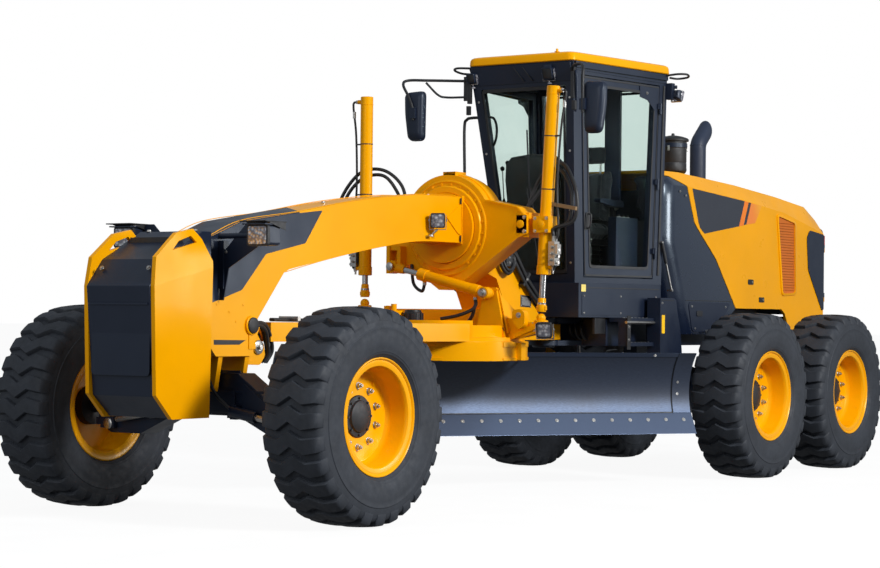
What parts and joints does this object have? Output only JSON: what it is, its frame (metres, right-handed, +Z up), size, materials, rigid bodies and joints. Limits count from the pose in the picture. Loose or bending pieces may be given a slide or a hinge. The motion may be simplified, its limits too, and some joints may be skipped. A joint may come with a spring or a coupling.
{
  "type": "articulated motor grader",
  "caption": "Six-wheeled motor grader with arched front beam, turntable blade under it, enclosed cab and rear engine, articulated behind the blade.",
  "frame": {"origin": "on the ground, at the middle of the machine's length and width", "axes": "+X forward, +Y to the machine's left, +Z up"},
  "size_m": [8.8, 2.6454, 3.2998],
  "materials": {
    "machine_yellow": "semi gloss",
    "charcoal_paint": "satin",
    "wheel_yellow": "semi gloss",
    "tyre_rubber": "matt",
    "cylinder_rod": "polished",
    "blade_steel": "worn satin",
    "edge_steel": "worn",
    "cab_glazing": "clear tint",
    "seat_fabric": "woven",
    "cab_plastic": "fine grain",
    "engine_iron": "as cast",
    "exhaust_steel": "heat dulled",
    "lamp_black": "gloss"
  },
  "bodies": {
    "rear_unit": {"rear_frame": "charcoal_paint", "rear_bumper": "charcoal_paint", "rear_axle": "charcoal_paint", "tandem_case_left": "charcoal_paint", "tandem_case_right": "charcoal_paint", "engine_hood": "machine_yellow", "tank_cover": "charcoal_paint", "engine_block": "engine_iron", "exhaust_stack": "exhaust_steel", "air_cleaner": "charcoal_paint", "cab_frame": "charcoal_paint", "cab_base": "charcoal_paint", "cab_roof": "charcoal_paint", "cab_glass": "cab_glazing", "operator_seat": "seat_fabric", "steering_console": "cab_plastic", "cab_steps": "charcoal_paint", "mirrors": "cab_plastic"},
    "front_unit": {"front_frame": "machine_yellow", "lift_saddle": "machine_yellow", "guard_block": "charcoal_paint", "guard_plates": "machine_yellow", "headlights": "lamp_black", "front_axle": "charcoal_paint"},
    "drawbar": {"drawbar": "machine_yellow"},
    "circle": {"circle": "machine_yellow"},
    "blade_carrier": {"blade_carrier": "machine_yellow", "side_shift_barrel": "machine_yellow"},
    "moldboard": {"moldboard": "blade_steel", "cutting_edge": "edge_steel", "side_shift_rod": "cylinder_rod"},
    "tip_barrel": {"tip_barrel": "machine_yellow"},
    "tip_rod": {"tip_rod": "cylinder_rod"},
    "shift_barrel": {"shift_barrel": "machine_yellow"},
    "shift_rod": {"shift_rod": "cylinder_rod"},
    "rear_grille_door": {"rear_grille_door": "charcoal_paint"},
    "door_left": {"door_left": "charcoal_paint", "door_glass_left": "cab_glazing"},
    "lean_bracket_left": {"lean_bracket_left": "charcoal_paint"},
    "knuckle_left": {"knuckle_left": "charcoal_paint"},
    "front_wheel_left": {"front_left_tyre": "tyre_rubber", "front_left_rim": "wheel_yellow"},
    "tandem_front_wheel_left": {"tandem_front_left_tyre": "tyre_rubber", "tandem_front_left_rim": "wheel_yellow"},
    "tandem_rear_wheel_left": {"tandem_rear_left_tyre": "tyre_rubber", "tandem_rear_left_rim": "wheel_yellow"},
    "lift_barrel_left": {"lift_barrel_left": "machine_yellow"},
    "lift_rod_left": {"lift_rod_left": "cylinder_rod"},
    "door_right": {"door_right": "charcoal_paint", "door_glass_right": "cab_glazing"},
    "lean_bracket_right": {"lean_bracket_right": "charcoal_paint"},
    "knuckle_right": {"knuckle_right": "charcoal_paint"},
    "front_wheel_right": {"front_right_tyre": "tyre_rubber", "front_right_rim": "wheel_yellow"},
    "tandem_front_wheel_right": {"tandem_front_right_tyre": "tyre_rubber", "tandem_front_right_rim": "wheel_yellow"},
    "tandem_rear_wheel_right": {"tandem_rear_right_tyre": "tyre_rubber", "tandem_rear_right_rim": "wheel_yellow"},
    "lift_barrel_right": {"lift_barrel_right": "machine_yellow"},
    "lift_rod_right": {"lift_rod_right": "cylinder_rod"}
  },
  "joints": [
    {"name": "articulation", "type": "hinge", "parent": "rear_unit", "child": "front_unit", "pos_m": [-0.43, 0, 1.165], "axis": [0, 0, -1], "range_deg": [-20, 20]},
    {"name": "lean_left", "type": "hinge", "parent": "front_unit", "child": "lean_bracket_left", "pos_m": [3.49, 0.8, 0.56], "axis": [1, 0, 0], "range_deg": [-18, 18]},
    {"name": "steer_left", "type": "hinge", "parent": "lean_bracket_left", "child": "knuckle_left", "pos_m": [3.49, 0.93, 0.665], "axis": [0, 0, 1], "range_deg": [-45, 45]},
    {"name": "front_wheel_left_spin", "type": "hinge", "parent": "knuckle_left", "child": "front_wheel_left", "pos_m": [3.49, 1.1, 0.665], "axis": [0, 1, 0], "continuous": true},
    {"name": "tandem_front_wheel_left_spin", "type": "hinge", "parent": "rear_unit", "child": "tandem_front_wheel_left", "pos_m": [-1.88, 1.07, 0.665], "axis": [0, 1, 0], "continuous": true},
    {"name": "tandem_rear_wheel_left_spin", "type": "hinge", "parent": "rear_unit", "child": "tandem_rear_wheel_left", "pos_m": [-3.42, 1.07, 0.665], "axis": [0, 1, 0], "continuous": true},
    {"name": "lean_right", "type": "hinge", "parent": "front_unit", "child": "lean_bracket_right", "pos_m": [3.49, -0.8, 0.56], "axis": [1, 0, 0], "range_deg": [-18, 18]},
    {"name": "steer_right", "type": "hinge", "parent": "lean_bracket_right", "child": "knuckle_right", "pos_m": [3.49, -0.93, 0.665], "axis": [0, 0, 1], "range_deg": [-45, 45]},
    {"name": "front_wheel_right_spin", "type": "hinge", "parent": "knuckle_right", "child": "front_wheel_right", "pos_m": [3.49, -1.1, 0.665], "axis": [0, 1, 0], "continuous": true},
    {"name": "tandem_front_wheel_right_spin", "type": "hinge", "parent": "rear_unit", "child": "tandem_front_wheel_right", "pos_m": [-1.88, -1.07, 0.665], "axis": [0, 1, 0], "continuous": true},
    {"name": "tandem_rear_wheel_right_spin", "type": "hinge", "parent": "rear_unit", "child": "tandem_rear_wheel_right", "pos_m": [-3.42, -1.07, 0.665], "axis": [0, 1, 0], "continuous": true},
    {"name": "drawbar_lift", "type": "hinge", "parent": "front_unit", "child": "drawbar", "pos_m": [3.2, 0, 1.065], "axis": [0, 1, 0], "range_deg": [-22, 0]},
    {"name": "lift_barrel_left_swing", "type": "hinge", "parent": "front_unit", "child": "lift_barrel_left", "pos_m": [0.84, 0.8, 1.935], "axis": [0, 1, 0], "range_deg": [-3.54, 0.05]},
    {"name": "lift_rod_left_slide", "type": "slide", "parent": "lift_barrel_left", "child": "lift_rod_left", "axis": [0, -0.0526, -0.9986], "range_m": [-0.001, 0.9033]},
    {"name": "lift_barrel_right_swing", "type": "hinge", "parent": "front_unit", "child": "lift_barrel_right", "pos_m": [0.84, -0.8, 1.935], "axis": [0, 1, 0], "range_deg": [-1.26, 0.05]},
    {"name": "lift_rod_right_slide", "type": "slide", "parent": "lift_barrel_right", "child": "lift_rod_right", "axis": [0, 0, -1], "range_m": [-0.001, 0.9124]},
    {"name": "shift_rod_swing", "type": "hinge", "parent": "front_unit", "child": "shift_rod", "pos_m": [1, -0.42, 1.64], "axis": [1, 0, 0], "range_deg": [-41.01, 0.05]},
    {"name": "shift_barrel_slide", "type": "slide", "parent": "shift_rod", "child": "shift_barrel", "axis": [0, 0.9728, -0.2318], "range_m": [-0.001, 0.4303]},
    {"name": "circle_rotation", "type": "hinge", "parent": "drawbar", "child": "circle", "pos_m": [0.87, -0.06, 1.03], "axis": [0, 0, 1], "continuous": true},
    {"name": "blade_tip", "type": "hinge", "parent": "circle", "child": "blade_carrier", "pos_m": [0.74139, -0.25068, 0.54], "axis": [-0.829, 0.5592, 0], "range_deg": [-3, 35]},
    {"name": "blade_side_shift", "type": "slide", "parent": "blade_carrier", "child": "moldboard", "axis": [0.829, -0.5592, 0], "range_m": [-0.3, 0.6]},
    {"name": "tip_barrel_swing", "type": "hinge", "parent": "circle", "child": "tip_barrel", "pos_m": [0.54008, -0.54913, 0.9], "axis": [-0.829, 0.5592, 0], "range_deg": [-0.65, 7.05]},
    {"name": "tip_rod_slide", "type": "slide", "parent": "tip_barrel", "child": "tip_rod", "axis": [0.5592, 0.829, 0], "range_m": [-0.0191, 0.2119]},
    {"name": "door_left_hinge", "type": "hinge", "parent": "rear_unit", "child": "door_left", "pos_m": [-1.171, 0.59169, 2.36], "axis": [0, 0.0319, 0.9995], "range_deg": [0, 75]},
    {"name": "door_right_hinge", "type": "hinge", "parent": "rear_unit", "child": "door_right", "pos_m": [-1.171, -0.59169, 2.36], "axis": [0, -0.0319, 0.9995], "range_deg": [-75, 0]},
    {"name": "rear_grille_hinge", "type": "hinge", "parent": "rear_unit", "child": "rear_grille_door", "pos_m": [-4.358, 0.566, 1.7125], "axis": [0, 0, 1], "range_deg": [-100, 0]}
  ],
  "couplings": [
    {"joint": "lean_right", "follows": "lean_left", "ratio": 1},
    {"joint": "steer_right", "follows": "steer_left", "ratio": 1},
    {"joint": "lift_barrel_left_swing", "follows": "drawbar_lift", "ratio": 0.1584},
    {"joint": "lift_rod_left_slide", "follows": "drawbar_lift", "m_per_rad": -2.35},
    {"joint": "lift_barrel_right_swing", "follows": "drawbar_lift", "ratio": 0.0552},
    {"joint": "lift_rod_right_slide", "follows": "drawbar_lift", "m_per_rad": -2.3735},
    {"joint": "shift_rod_swing", "follows": "drawbar_lift", "ratio": 1.862},
    {"joint": "shift_barrel_slide", "follows": "drawbar_lift", "m_per_rad": -1.118},
    {"joint": "tip_barrel_swing", "follows": "blade_tip", "ratio": 0.19988},
    {"joint": "tip_rod_slide", "follows": "blade_tip", "m_per_rad": 0.34521}
  ]
}
